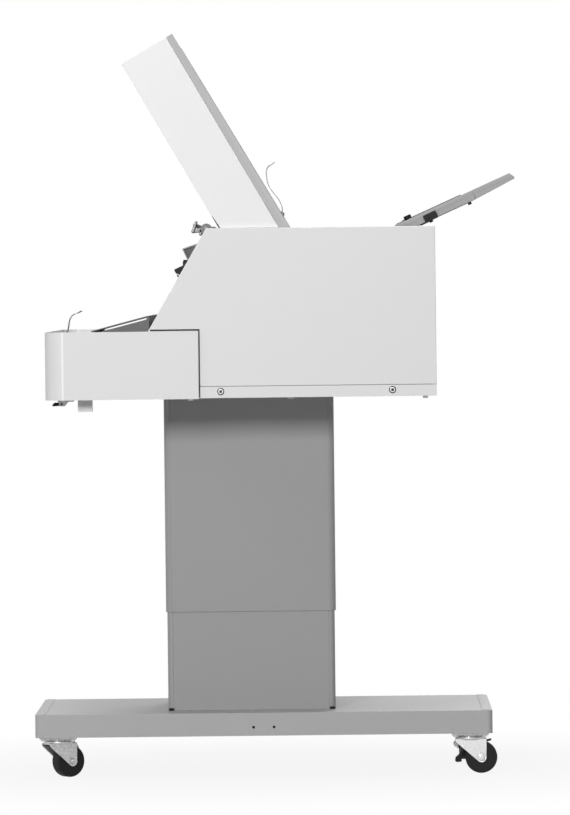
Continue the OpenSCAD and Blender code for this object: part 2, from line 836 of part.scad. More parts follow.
module feed_tray() {
    y_in = tray_w / 2 - tray_wall;
    color("lightgray") on_tray() {
        for (side = [-1, 1]) {
            y = side * (tray_w / 2 - tray_wall / 2);
            slab(y - tray_wall / 2, y + tray_wall / 2) {
                polygon([[0, 0], [tray_len, 0], [tray_len, -tray_rail], [6, -tray_rail],
                    [tray_pivot.x + 3, tray_pivot.y - 5], [tray_pivot.x - 5, tray_pivot.y + 3]]);
                translate(tray_pivot) circle(6);
            }
            block([40, side < 0 ? -y_in - 0.5 : y_in - 12, lip_n - tray_wall],
                [tray_len, side < 0 ? -y_in + 12 : y_in + 0.5, lip_n]);
            bar_y(tray_pivot, tray_pin, side < 0 ? -frame_out - 1 : y_in, side < 0 ? -y_in : frame_out + 1);
            block([52, side < 0 ? -tray_w / 2 - 5 : tray_w / 2 - 0.5, -tray_rail - 1],
                [70, side < 0 ? -tray_w / 2 + 0.5 : tray_w / 2 + 5, -tray_rail + 9]);
        }
        block([0, -y_in - 0.5, bed_n - bed_t], [tray_len, y_in + 0.5, bed_n]);
    }
}

module feed_extension() {
    u0 = tray_len + 0.5;
    u1 = tray_len + extension_len;
    y_in = tray_w / 2 - tray_wall;
    color("lightgray") on_tray() {
        block([20, -y_in + SLIP, slide_n - bed_t], [u1, y_in - SLIP, slide_n]);
        for (side = [-1, 1]) {
            y = side * (tray_w / 2 - tray_wall / 2);
            slab(y - tray_wall / 2, y + tray_wall / 2) polygon([[u0, 0], [u1, 0], [u1 + 5, -8],
                [u1 + 4.5, -tray_rail + 4], [u0, -tray_rail]]);
            block([u0, side < 0 ? -y_in - 0.5 : y_in - 2, slide_n - bed_t],
                [u1, side < 0 ? -y_in + 2 : y_in + 0.5, slide_n]);
        }
        block([u1 - 2, -y_in - 0.5, -9], [u1, y_in + 0.5, -1.5]);
    }
}

module side_guide_near() {
    y = -side_guide;
    n0 = bed_n + SLIP;
    color("dimgray") on_tray() difference() {
        union() {
            block([8, y - 2, n0], [118, y, 2]);
            block([8, y - 26, n0], [60, y, n0 + 1.5]);
        }
        translate([knob_u, y - 14, n0 - 1]) cylinder(d = 4 + 2 * FIT, h = 4);
    }
}

module side_guide_far() {
    y = side_guide;
    n0 = bed_n + SLIP;
    color("dimgray") on_tray() {
        block([8, y, n0], [118, y + 2, 2]);
        block([8, y, n0], [60, y + 26, n0 + 1.5]);
        translate([knob_u - 6, y, n0]) cube([12, 4, 9]);
    }
}

module guide_knob() {
    n0 = bed_n + SLIP + 1.5 + 0.2;
    color("black") on_tray() translate([knob_u, -side_guide - 14, 0]) {
        translate([0, 0, n0]) cylinder(d = knob_d, h = knob_n - n0);
        translate([0, 0, n0 - 1.5]) cylinder(d = 4, h = 2);
    }
}

// ---- catch tray ----

// Plan outline of the tray, pulled in by an inset
module catch_outline(inset, rear) {
    half = catch_out - inset;
    r = catch_r - inset;
    x0 = catch_front + inset;
    translate([x0 + r, -half]) square([rear - x0 - r, 2 * half]);
    translate([x0, -half + r]) square([r + 1, 2 * (half - r)]);
    for (side = [-1, 1]) translate([x0 + r, side * (half - r)]) circle(r);
}

module catch_tray() {
    floor_rear = knee_x - 2.5;
    color("gainsboro") {
        translate([0, 0, catch_z]) linear_extrude(catch_h) difference() {
            catch_outline(0, catch_rear);
            catch_outline(catch_wall, catch_rear + 1);
        }
        translate([0, 0, catch_z]) linear_extrude(2) catch_outline(0.5, floor_rear);
        for (y = [-runner_y, runner_y]) {
            block([catch_front + 40, y - runner_w / 2, runner_z], [catch_rear, y + runner_w / 2, runner_z + runner_t]);
            block([catch_front + 40, y - runner_w / 2, catch_z + 1], [floor_rear - 20, y + runner_w / 2, runner_z + 1]);
        }
        for (side = [-1, 1]) {
            y = side * (stop_half + 6);
            slab(y - 1.5, y + 1.5) difference() {
                polygon([[catch_front + 1, knee_z - 18], [stop_pivot.x + 2, stop_pivot.y - 5],
                    [stop_pivot.x + 5, stop_pivot.y], [stop_pivot.x + 2, stop_pivot.y + 5],
                    [catch_front + 1, knee_z - 2]]);
                translate(stop_pivot) circle(d = wire_d + 2 * FIT);
            }
        }
        block([latch_pivot.x - 6, latch_y0, catch_z - 3], [latch_pivot.x + 18, latch_y1, catch_z + 0.5]);
        for (y0 = [latch_y0, latch_y1 - 3]) slab(y0, y0 + 3) difference() {
            polygon([[latch_pivot.x - 5, catch_z], [latch_pivot.x - 4, latch_pivot.y - 3.5],
                [latch_pivot.x + 4, latch_pivot.y - 3.5], [latch_pivot.x + 12, catch_z]]);
            translate(latch_pivot) circle(d = latch_pin + 2 * FIT);
        }
        block([catch_front + 49, latch_y0, catch_z - 19], [catch_front + 71, latch_y0 + 28, catch_z + 0.5]);
    }
}

module wire_stop() {
    points = [for (p = STOP) p + stop_pivot];
    color("silver") {
        for (side = [-1, 1]) wire(points, side * stop_half);
        bar_y(points[0], wire_d, -stop_half - 10, stop_half + 10);
        bar_y(points[len(points) - 1], wire_d, -stop_half, stop_half);
    }
}

module tray_latch() {
    x = latch_pivot.x;
    z = latch_pivot.y;
    color("black") {
        slab(latch_y0 + 3.5, latch_y1 - 3.5) {
            translate(latch_pivot) circle(3);
            polygon([[x, z + 2.5], [x - 12, z + 2], [x - 15, z - 1.5], [x - 14, z - 3.5], [x, z - 2.5]]);
        }
        bar_y(latch_pivot, latch_pin, latch_y0 - 0.5, latch_y1 + 0.5);
    }
}

// ---- nodes ----

for (c = CASTERS) caster_fork(c);
for (c = CASTERS) caster_wheel(c);
caster_brake(CASTERS[1]);  // caster_brake_rear_near
caster_brake(CASTERS[3]);  // caster_brake_rear_far
foot();
foot_trim();
caster_plates();
column_lower();
lift_drive();
column_upper();
lift_rod();
bottom_pan();
side_panel_near();
side_panel_far();
rear_panel();
top_cover();
front_lower();
chassis_frame();
platen();
carriage_rail();
main_board();
power_supply();
power_inlet();
power_switch();
control_panel();
drive_motors();
delivery_ramp();
body_fasteners();
drive_belt();
front_cover();
exit_channel();
cover_grip();
release_lever();
feed_roller();
pinch_bar();
pinch_rollers();
carriage();
tool_holder();
pulley(pulley_y);  // pulley_drive
pulley(-pulley_y);  // pulley_idle
for (b = BUTTONS) button(b[1]);
holder_box();
holder_guide();
holder_finger();
feed_tray();
feed_extension();
side_guide_near();
side_guide_far();
guide_knob();
catch_tray();
wire_stop();
tray_latch();
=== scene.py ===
import json
import math

import bpy
from mathutils import Matrix, Vector


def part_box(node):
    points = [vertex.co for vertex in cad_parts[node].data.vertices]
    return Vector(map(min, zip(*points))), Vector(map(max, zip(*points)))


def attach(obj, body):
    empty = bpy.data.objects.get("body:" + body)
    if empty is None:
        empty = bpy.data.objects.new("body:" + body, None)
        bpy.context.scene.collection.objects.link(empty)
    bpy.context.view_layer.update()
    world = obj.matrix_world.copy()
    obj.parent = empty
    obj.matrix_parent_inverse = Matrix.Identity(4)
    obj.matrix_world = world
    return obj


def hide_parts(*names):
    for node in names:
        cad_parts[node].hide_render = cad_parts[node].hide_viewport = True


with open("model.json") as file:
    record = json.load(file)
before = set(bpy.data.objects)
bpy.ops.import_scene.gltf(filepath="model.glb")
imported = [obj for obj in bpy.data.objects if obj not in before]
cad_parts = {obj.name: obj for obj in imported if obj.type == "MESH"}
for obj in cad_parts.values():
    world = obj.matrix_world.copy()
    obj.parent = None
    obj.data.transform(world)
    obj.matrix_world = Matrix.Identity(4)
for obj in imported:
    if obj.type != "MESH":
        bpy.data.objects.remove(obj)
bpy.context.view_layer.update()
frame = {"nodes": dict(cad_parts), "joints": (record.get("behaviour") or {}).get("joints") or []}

MM = 0.001
X, Y, Z = Vector((1, 0, 0)), Vector((0, 1, 0)), Vector((0, 0, 1))


# ---------------------------------------------------------------- shader maths

class Wire:
    """One shader socket, with the sums that the finishes need."""

    def __init__(self, finish, socket):
        self.finish = finish
        self.socket = socket

    def maths(self, kind, a, b):
        return self.finish.node("ShaderNodeMath", {"operation": kind}, {0: a, 1: b})["Value"]

    def __add__(self, other):
        return self.maths("ADD", self, other)

    __radd__ = __add__

    def __sub__(self, other):
        return self.maths("SUBTRACT", self, other)

    def __rsub__(self, other):
        return self.maths("SUBTRACT", other, self)

    def __mul__(self, other):
        return self.maths("MULTIPLY", self, other)

    __rmul__ = __mul__

    def above(self, edge, soft):
        """0 under the edge and 1 past it, over a soft step."""
        made = self.finish.node(
            "ShaderNodeMapRange",
            {"interpolation_type": "SMOOTHSTEP"},
            {"Value": self, "From Min": edge, "From Max": edge + soft},
        )
        return made["Result"]


class Finish:
    """A material under construction."""

    def __init__(self, name):
        self.material = bpy.data.materials.new(name)
        self.material.use_nodes = True
        self.tree = self.material.node_tree
        self.shader = self.tree.nodes["Principled BSDF"]

    def node(self, kind, settings=None, values=None):
        """Adds a node and returns its outputs, wrapped, by name."""
        made = self.tree.nodes.new(kind)
        for key, value in (settings or {}).items():
            if key == "stops":
                ramp = made.color_ramp.elements
                while len(ramp) < len(value):
                    ramp.new(0.5)
                for stop, (place, colour) in zip(ramp, value):
                    stop.position = place
                    stop.color = colour
            else:
                setattr(made, key, value)
        for key, value in (values or {}).items():
            self.feed(made.inputs[key], value)
        return {out.name: Wire(self, out) for out in made.outputs if out.enabled}

    def feed(self, socket, value):
        if isinstance(value, Wire):
            self.tree.links.new(value.socket, socket)
        else:
            socket.default_value = value

    def place(self, stretch=(1, 1, 1), turn=(0, 0, 0)):
        """Object coordinates in metres, stretched and turned."""
        start = self.node("ShaderNodeTexCoord")["Object"]
        back = {"Vector": start, "Scale": [1 / v for v in stretch], "Rotation": [-v for v in turn]}
        made = self.node("ShaderNodeMapping", {"vector_type": "TEXTURE"}, back)
        return made["Vector"]

    def noise(self, size, stretch=(1, 1, 1), turn=(0, 0, 0), detail=3.0, rough=0.5):
        """Noise whose lumps are about size metres across."""
        values = {
            "Vector": self.place(stretch, turn), "Scale": 1 / size, "Detail": detail, "Roughness": rough,
        }
        return self.node("ShaderNodeTexNoise", None, values)["Fac"]

    def mix(self, mask, first, second):
        """Colour that goes from first to second with the mask."""
        made = self.node("ShaderNodeMix", {"data_type": "RGBA", "clamp_factor": True})
        mixer = self.tree.nodes[-1]
        sockets = [s for s in mixer.inputs if s.enabled]
        for socket, value in zip(sockets, (mask, first, second)):
            self.feed(socket, value)
        return made["Result"]

    def bump(self, height, depth, strength=1.0):
        values = {"Height": height, "Distance": depth, "Strength": strength}
        self.set("Normal", self.node("ShaderNodeBump", None, values)["Normal"])

    def set(self, socket, value):
        self.feed(self.shader.inputs[socket], value)

    def corner(self, reach=0.0012):
        """1 on corners and edges, 0 on flat faces."""
        round_normal = self.node("ShaderNodeBevel", {"samples": 4}, {"Radius": reach})["Normal"]
        flat_normal = self.node("ShaderNodeNewGeometry")["True Normal"]
        normals = {0: round_normal, 1: flat_normal}
        same = self.node("ShaderNodeVectorMath", {"operation": "DOT_PRODUCT"}, normals)
        return (1 - same["Value"]).above(0.02, 0.2)


def grey(level, warm=0.0):
    return (level * (1 + warm), level, level * (1 - warm), 1.0)


def powder_coat(name, level, gloss=0.42, speckle=0.00045, bend_highlight_x=None):
    """Sprayed steel: fine orange peel, faint cloudiness, a patchy painted highlight along the edges, and where asked
    a painted highlight on a bend line across X.
    """
    f = Finish(name)
    cloud = f.noise(0.3, detail=1.0)
    peel = f.noise(speckle * 3, detail=2.0)
    # painted highlight: edges and bends lightened in patches, standing for light caught on the bends
    edge_highlight = f.corner() * (0.35 + 0.65 * f.noise(0.02))
    body = f.mix(0.75 * cloud + 0.25 * peel, grey(level * 0.975), grey(level * 1.02))
    if bend_highlight_x is not None:
        # painted highlight: a thin near-white line across X, on the bend of the tray's front corner
        across = f.node("ShaderNodeSeparateXYZ", None, {"Vector": f.place((1.0, 1.0, 1.0))})["X"] - bend_highlight_x
        body = f.mix((across * across).above(0.0000012, 0.0000012), grey(0.93), body)
    # the edges go towards a lighter grey: this is the painted highlight
    f.set("Base Color", f.mix(edge_highlight * 0.7, body, grey(min(level * 1.22, 0.93))))
    f.set("Roughness", gloss + 0.1 * cloud + 0.06 * peel)
    f.set("Coat Weight", 0.15)
    f.set("Coat Roughness", 0.35)
    f.bump(peel, 0.00003, 0.3)
    return f.material


def brushed_metal(name, level, along, rough=0.38, contrast=0.22):
    """Metal with long fine streaks along one direction of the piece."""
    f = Finish(name)
    stretch, turn = along
    streak = f.noise(0.0011, stretch, turn, detail=4.0, rough=0.65)
    broad = f.noise(0.012, stretch, turn, detail=2.0)
    tone = 0.6 * streak + 0.4 * broad
    light = grey(min(level * (1 + contrast), 0.95))
    f.set("Base Color", f.mix(tone.above(0.25, 0.5), grey(level * (1 - contrast)), light))
    f.set("Metallic", 0.75)
    f.set("Roughness", rough + 0.2 * streak)
    f.bump(streak, 0.00004, 0.4)
    return f.material


def zinc_plate(name, level=0.55):
    """Bright zinc: faint crystals of tone, small stains and soft gloss."""
    f = Finish(name)
    values = {"Vector": f.place(), "Scale": 260.0, "Randomness": 1.0}
    crystal = f.node("ShaderNodeTexVoronoi", None, values)["Distance"]
    stain = f.noise(0.009).above(0.56, 0.2)
    clean = f.mix(crystal, grey(level * 1.15), grey(level * 0.9))
    f.set("Base Color", f.mix(stain * 0.4, clean, grey(level * 0.62, 0.03)))
    f.set("Metallic", 0.85)
    f.set("Roughness", 0.24 + 0.2 * crystal + 0.12 * stain)
    f.bump(f.noise(0.0008), 0.00003, 0.4)
    return f.material


def moulded(name, level, rough=0.5, grain=0.0006, tint=None):
    """Moulded plastic with a fine spark grain, faint random lighter patches and a painted highlight along the edges.
    """
    f = Finish(name)
    tiny = f.noise(grain, detail=2.0)
    hand = f.noise(0.03)
    colour = tint or grey(level)
    lighter = tuple(min(c * 1.5 + 0.01, 1.0) for c in colour[:3]) + (1.0,)
    # painted highlight along the edges, plus faint random lighter patches
    f.set("Base Color", f.mix(f.corner() * 0.6 + 0.12 * hand, colour, lighter))
    f.set("Roughness", rough + 0.14 * hand - 0.06 * tiny)
    f.set("Specular IOR Level", 0.5 if level > 0.1 else 0.16)
    f.bump(tiny, 0.00005, 0.5)
    return f.material


def tyre_rubber(name, level=0.018):
    """Black rubber, dusty where it rolls."""
    f = Finish(name)
    dust = f.noise(0.006, detail=5.0).above(0.5, 0.25)
    f.set("Base Color", f.mix(dust * 0.35, grey(level), grey(0.055, 0.04)))
    f.set("Roughness", 0.62 + 0.25 * dust)
    f.set("Specular IOR Level", 0.16)
    f.bump(f.noise(0.0007), 0.00008, 0.5)
    return f.material


def ground_steel(name, level=0.5, along=((1, 0.02, 1), (0, 0, 0))):
    """Bright steel wire, rod or rail with faint draw marks."""
    f = Finish(name)
    mark = f.noise(0.001, *along, detail=4.0)
    f.set("Base Color", f.mix(mark, grey(level * 0.85), grey(level * 1.2)))
    f.set("Metallic", 0.9)
    f.set("Roughness", 0.2 + 0.2 * mark)
    f.bump(mark, 0.00002, 0.3)
    return f.material


def circuit_board(name):
    """Green solder mask with copper runs under it."""
    f = Finish(name)
    values = {"Vector": f.place(), "Scale": 220.0}
    runs = f.node("ShaderNodeTexBrick", {"offset": 0.37, "squash": 0.6}, values)["Fac"]
    f.set("Base Color", f.mix(runs, (0.01, 0.09, 0.04, 1), (0.03, 0.19, 0.07, 1)))
    f.set("Roughness", 0.3 + 0.2 * f.noise(0.01))
    f.bump(runs, 0.00004, 0.5)
    return f.material


def screen_glass(name):
    """Dark glass with a dim lit field."""
    f = Finish(name)
    glow = f.noise(0.02)
    f.set("Base Color", f.mix(glow, (0.01, 0.014, 0.018, 1), (0.02, 0.03, 0.036, 1)))
    f.set("Emission Color", (0.05, 0.16, 0.2, 1))
    f.set("Emission Strength", 0.12)
    f.set("Roughness", 0.07 + 0.05 * glow)
    f.set("Coat Weight", 0.6)
    return f.material


TRAY_GRAIN = ((0.02, 1, 1), (0, math.radians(24), 0))
HOLDER_GRAIN = ((1, 1, 0.02), (0, math.radians(30), 0))
FINISHES = {
    "panel": powder_coat("pale grey coat", 0.76),
    # the tray coat carries the painted bend highlight at X = -0.3232 m
    "tray": powder_coat("tray grey coat", 0.76, bend_highlight_x=-0.3232),
    "holder": powder_coat("white coat", 0.84, 0.38),
    "column": powder_coat("mid grey coat", 0.33, 0.46),
    "foot": powder_coat("foot grey coat", 0.42, 0.44),
    "feed": brushed_metal("brushed feed tray", 0.24, TRAY_GRAIN, 0.5, 0.34),
    "guide": brushed_metal("brushed holder guide", 0.3, HOLDER_GRAIN, 0.5),
    "channel": brushed_metal("brushed channel", 0.14, ((1, 0.02, 1), (0, 0, 0))),
    "zinc": zinc_plate("bright zinc"),
    "chassis": powder_coat("chassis grey", 0.2, 0.5),
    "ramp": powder_coat("ramp grey", 0.115, 0.5),
    "steel": ground_steel("ground steel", 0.42),
    "dark_steel": ground_steel("oiled steel", 0.12),
    "black": moulded("black plastic", 0.009, 0.42),
    "grey": moulded("grey plastic", 0.16, 0.5),
    "button": moulded("button plastic", 0.6, 0.4),
    "lever": ground_steel("lever steel", 0.13),
    "brush": moulded("brush strip", 0.13, 0.85, 0.0022),
    "red": moulded("switch plastic", 0.2, 0.3, tint=(0.45, 0.03, 0.02, 1)),
    "tyre": tyre_rubber("tyre rubber"),
    "roller": tyre_rubber("roller rubber", 0.03),
    "board": circuit_board("circuit board"),
    "screen": screen_glass("screen glass"),
}


# ---------------------------------------------------------------- modelling

def nothing_selected():
    active = bpy.context.object
    if active and active.mode != "OBJECT":
        bpy.ops.object.mode_set(mode="OBJECT")
    bpy.ops.object.select_all(action="DESELECT")


def only(piece):
    nothing_selected()
    piece.select_set(True)
    bpy.context.view_layer.objects.active = piece


def settle(piece):
    """Puts the piece's place into its mesh."""
    only(piece)
    bpy.ops.object.transform_apply(location=True, rotation=True, scale=True)
    return piece


def block(low, high):
    """A box between two corners."""
    low, high = Vector(low), Vector(high)
    nothing_selected()
    bpy.ops.mesh.primitive_cube_add(size=1, location=(low + high) / 2)
    bpy.context.object.scale = high - low
    return settle(bpy.context.object)


def rod(start, end, radius, sides=40):
    """A round bar between two points."""
    start, end = Vector(start), Vector(end)
    nothing_selected()
    bpy.ops.mesh.primitive_cylinder_add(
        vertices=sides, radius=radius, depth=(end - start).length, location=(start + end) / 2
    )
    bpy.context.object.rotation_mode = "QUATERNION"
    bpy.context.object.rotation_quaternion = (end - start).to_track_quat("Z", "Y")
    return settle(bpy.context.object)


def prism(outline, y0, y1, frame_of=Matrix()):
    """A bar along Y with a convex outline of (x, z) points in millimetres, set into a frame."""
    xs, zs = [p[0] for p in outline], [p[1] for p in outline]
    bar = block((min(xs) * MM, y0 * MM, min(zs) * MM), (max(xs) * MM, y1 * MM, max(zs) * MM))
    middle = Vector((sum(xs) / len(xs), 0, sum(zs) / len(zs)))
    for first, second in zip(outline, outline[1:] + outline[:1]):
        start, end = Vector((first[0], 0, first[1])), Vector((second[0], 0, second[1]))
        out = (end - start).cross(Y).normalized()
        if out.dot(start - middle) < 0:
            out.negate()
        if max(abs(out.x), abs(out.z)) < 0.9999:
            cut(bar, start * MM, out)
    bar.data.transform(frame_of)
    return bar


def sloped(x, z, degrees):
    """A frame at (x, z) in millimetres whose X axis is turned down or up about Y."""
    return Matrix.Translation((x * MM, 0, z * MM)) @ Matrix.Rotation(math.radians(degrees), 4, "Y")


FRONT = sloped(-100, 855.5, 120)
TRAY = sloped(188.5, 855.5, -24)
HOLDER = sloped(12, 855.8, -30)


def ring(centre, axis, radius, thickness):
    nothing_selected()
    bpy.ops.mesh.primitive_torus_add(
        major_radius=radius, minor_radius=thickness, major_segments=48, minor_segments=12, location=centre
    )
    bpy.context.object.rotation_mode = "QUATERNION"
    bpy.context.object.rotation_quaternion = Vector(axis).to_track_quat("Z", "Y")
    return settle(bpy.context.object)


def bent_wire(points, radius):
    """A round wire through the points, with its corners drawn into bends."""
    nothing_selected()
    bpy.ops.curve.primitive_nurbs_path_add()
    wire = bpy.context.object
    wire.data.splines.clear()
    spline = wire.data.splines.new("BEZIER")
    spline.bezier_points.add(len(points) - 1)
    for knot, point in zip(spline.bezier_points, points):
        knot.co = point
        knot.handle_left_type = "AUTO"
        knot.handle_right_type = "AUTO"
    wire.data.dimensions = "3D"
    wire.data.resolution_u = 6
    wire.data.bevel_depth = radius
    wire.data.bevel_resolution = 3
    wire.data.use_fill_caps = True
    wire.location = (0, 0, 0)
    only(wire)
    bpy.ops.object.convert(target="MESH")
    return settle(bpy.context.object)


def edit(piece, mode="FACE"):
    only(piece)
    bpy.ops.object.mode_set(mode="EDIT")
    bpy.ops.mesh.select_mode(type=mode)


def done():
    bpy.ops.object.mode_set(mode="OBJECT")


def pick_faces(piece, test):
    """Selects the faces whose centre and normal pass the test, and enters edit mode."""
    only(piece)
    for part in (piece.data.vertices, piece.data.edges, piece.data.polygons):
        part.foreach_set("select", [False] * len(part))
    for face in piece.data.polygons:
        face.select = bool(test(face.center, face.normal))
    bpy.ops.object.mode_set(mode="EDIT")
    bpy.ops.mesh.select_mode(type="FACE")


def inset(piece, test, width, depth=0.0):
    """Insets the picked faces, then presses them in or pulls them out."""
    pick_faces(piece, test)
    bpy.ops.mesh.inset(thickness=width, depth=depth)
    done()
    return piece


def cut(piece, point, normal):
    """Saws off what lies past a plane and closes the cut."""
    edit(piece)
    bpy.ops.mesh.select_all(action="SELECT")
    bpy.ops.mesh.bisect(plane_co=point, plane_no=normal, use_fill=True, clear_outer=True)
    done()
    return piece


def modify(piece, kind, **settings):
    only(piece)
    modifier = piece.modifiers.new(kind.lower(), kind)
    for key, value in settings.items():
        setattr(modifier, key, value)
    bpy.ops.object.modifier_apply(modifier=modifier.name)
    return piece


def soften(piece, width, segments=2, angle=35):
    """Breaks the sharp edges and shades the piece."""
    modify(piece, "BEVEL", width=width, segments=segments, limit_method="ANGLE",
           angle_limit=math.radians(angle), use_clamp_overlap=True, harden_normals=False)
    return shade(piece)


def shade(piece, angle=32):
    """Smooth bends with the flat faces kept flat."""
    only(piece)
    bpy.ops.object.shade_smooth_by_angle(angle=math.radians(angle))
    return modify(piece, "WEIGHTED_NORMAL", keep_sharp=True, weight=80)


def drill(piece, cutter):
    """Takes the cutter's shape out of the piece."""
    modify(piece, "BOOLEAN", operation="DIFFERENCE", solver="EXACT", object=cutter)
    bpy.data.objects.remove(cutter)
    return piece


def join(pieces):
    only(pieces[0])
    for piece in pieces[1:]:
        piece.select_set(True)
    if len(pieces) > 1:
        bpy.ops.object.join()
    return bpy.context.object


def paint(piece, finish):
    piece.data.materials.clear()
    piece.data.materials.append(FINISHES[finish])
    return piece


def copy_of(piece, place=Matrix()):
    """A copy with its own mesh, moved by a matrix."""
    twin = piece.copy()
    twin.data = piece.data.copy()
    twin.data.transform(place)
    bpy.context.scene.collection.objects.link(twin)
    return twin


def keep(piece, name, body, finish, replaces=(), painted=False):
    """Names a finished piece, paints it and lets it ride on its body."""
    piece.name = name
    piece.data.name = name
    if not painted:
        paint(piece, finish)
    if replaces:
        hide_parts(*replaces)
    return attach(piece, body)


def worked(node):
    """A copy of a CAD node as one clean mesh, ready to be finished."""
    source = frame["nodes"][node]
    twin = source.copy()
    twin.data = source.data.copy()
    twin.parent = None
    for key in list(twin.keys()):
        if key.startswith("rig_"):
            del twin[key]
    bpy.context.scene.collection.objects.link(twin)
    twin.hide_render = False
    edit(twin, "VERT")
    bpy.ops.mesh.select_all(action="SELECT")
    bpy.ops.mesh.remove_doubles(threshold=0.00001)
    bpy.ops.mesh.dissolve_limited(angle_limit=math.radians(0.8), delimit={"NORMAL"})
    done()
    return twin


def dress(node, body, finish, width=0.5, segments=2):
    """Softens the edges of a CAD node's copy and lets it stand for the node."""
    piece = soften(worked(node), width * MM, segments)
    return keep(piece, node + "_finished", body, finish, [node])


def coat(node, finish):
    """Gives a CAD node its finish."""
    material = FINISHES[finish]
    piece = frame["nodes"][node]
    for place in piece.material_slots:
        place.material = material
    if not piece.material_slots:
        piece.data.materials.append(material)


# ---------------------------------------------------------------- screws and small fittings

def pan_screw(at, out, head=4.35, height=2.2):
    """A cross-recessed pan screw, head outwards."""
    at, out = Vector(at), Vector(out).normalized()
    top = at + out * height * MM
    screw = rod(at - out * 0.3 * MM, top, head * MM, 32)
    soften(screw, 1.2 * MM, 3, 60)
    side = out.orthogonal().normalized()
    for arm in (side, out.cross(side)):
        half = arm * 2.3 * MM
        wide = out.cross(arm) * 0.5 * MM
        reach = Vector([abs(half[i]) + abs(wide[i]) + abs(out[i]) * 1.1 * MM for i in range(3)])
        drill(screw, block(top - reach, top + reach))
    return shade(screw)


def hex_head(at, out, across=8.0, height=3.2):
    """A hexagon bolt head with a chamfered top and a washer."""
    at, out = Vector(at), Vector(out).normalized()
    washer = soften(rod(at, at + out * 0.9 * MM, across * 0.72 * MM, 32), 0.2 * MM, 1, 60)
    head = soften(rod(at, at + out * height * MM, across * 0.577 * MM, 6), 0.5 * MM, 2, 50)
    return join([washer, head])


# ---------------------------------------------------------------- stand

CASTERS = {"front_near": 34.0, "rear_near": 0.0, "front_far": -88.0, "rear_far": -94.0}
BRAKED = ("rear_near", "rear_far")


def caster_spot(name):
    """Swivel axis of a caster, from its joint."""
    for joint in frame["joints"]:
        if joint["name"] == "caster_swivel_" + name:
            return Vector((joint["pos_m"][0], joint["pos_m"][1], 0))


def foot():
    low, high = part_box("foot")
    body = worked("foot")
    soften(body, 1.6 * MM, 3)
    keep(body, "foot_box", "stand", "foot", ["foot"])
    trims = []
    for low_x in (low.x + 4 * MM, high.x - 16 * MM):
        bar = block(
            (low_x, low.y + 6 * MM, high.z - 1 * MM), (low_x + 12 * MM, high.y - 6 * MM, high.z + 1 * MM)
        )
        trims.append(soften(bar, 0.6 * MM, 2))
    keep(join(trims), "foot_end_trim", "stand", "foot", ["foot_trim"])
    nuts = []
    for x in (-37 * MM, -5 * MM):
        for side in (-1, 1):
            inner, outer = (x, side * 202 * MM, 77.5 * MM), (x, side * 206.8 * MM, 77.5 * MM)
            nuts.append(soften(rod(inner, outer, 4.5 * MM, 24), 0.6 * MM, 2, 60))
    keep(join(nuts), "anchor_nuts", "stand", "black")


def caster_wheel_model():
    """Wheel at the origin with its axle along Y: tyre, then web and hub."""
    tyre = rod((0, -9.5 * MM, 0), (0, 9.5 * MM, 0), 25 * MM, 72)
    soften(tyre, 3.0 * MM, 4, 60)
    side = lambda centre, normal: abs(normal.y) > 0.95
    web = rod((0, -9.9 * MM, 0), (0, 9.9 * MM, 0), 19.4 * MM, 72)
    inset(web, side, 1.6 * MM, 0)
    inset(web, lambda c, n: abs(n.y) > 0.95 and Vector((c.x, c.z)).length < MM, 1.0 * MM, -1.6 * MM)
    soften(web, 0.4 * MM, 2)
    hub = rod((0, -10.6 * MM, 0), (0, 10.6 * MM, 0), 6.6 * MM, 40)
    soften(hub, 0.8 * MM, 2, 60)
    paint(tyre, "tyre")
    paint(web, "black")
    paint(hub, "grey")
    return join([tyre, web, hub])


def caster_fork_model():
    """Pressed fork at the swivel axis, wheel towards +X."""
    parts = []
    top = 57.2 * MM
    skirt = rod((0, 0, top - 3.4 * MM), (0, 0, top), 23 * MM, 64)
    inset(skirt, lambda c, n: n.z < -0.95, 3 * MM, 0)
    soften(skirt, 1.1 * MM, 3, 60)
    parts.append(skirt)
    for side in (-1, 1):
        y0, y1 = side * 11 * MM, side * 13.6 * MM
        outline = [(-23, 54.2), (-23, 49.5), (12.3, 19), (25.5, 25), (26, 54.2)]
        leg = prism(outline, min(y0, y1) / MM, max(y0, y1) / MM)
        soften(leg, 0.7 * MM, 2)
        eye = rod((17.5 * MM, y0, 25 * MM), (17.5 * MM, y1 + side * 0.5 * MM, 25 * MM), 8 * MM, 40)
        inset(eye, lambda c, n: n.y * side > 0.95, 1.4 * MM, -0.4 * MM)
        soften(eye, 0.5 * MM, 2, 60)
        nut = rod((17.5 * MM, y1, 25 * MM), (17.5 * MM, y1 + side * 4.2 * MM, 25 * MM), 5.5 * MM, 6)
        soften(nut, 0.6 * MM, 2, 50)
        stud = rod((17.5 * MM, y1, 25 * MM), (17.5 * MM, y1 + side * 5.6 * MM, 25 * MM), 3 * MM, 24)
        soften(stud, 0.4 * MM, 2, 60)
        rivet = rod((-10 * MM, y1 - side * 0.4 * MM, 42 * MM), (-10 * MM, y1 + side * 0.8 * MM, 42 * MM), 3 * MM, 24)
        soften(rivet, 0.5 * MM, 2, 60)
        parts += [leg, eye, nut, stud, rivet]
    bridge = block((-22 * MM, -12.6 * MM, 52 * MM), (25 * MM, 12.6 * MM, 54.2 * MM))
    parts.append(soften(bridge, 0.6 * MM, 2))
    return shade(join(parts))


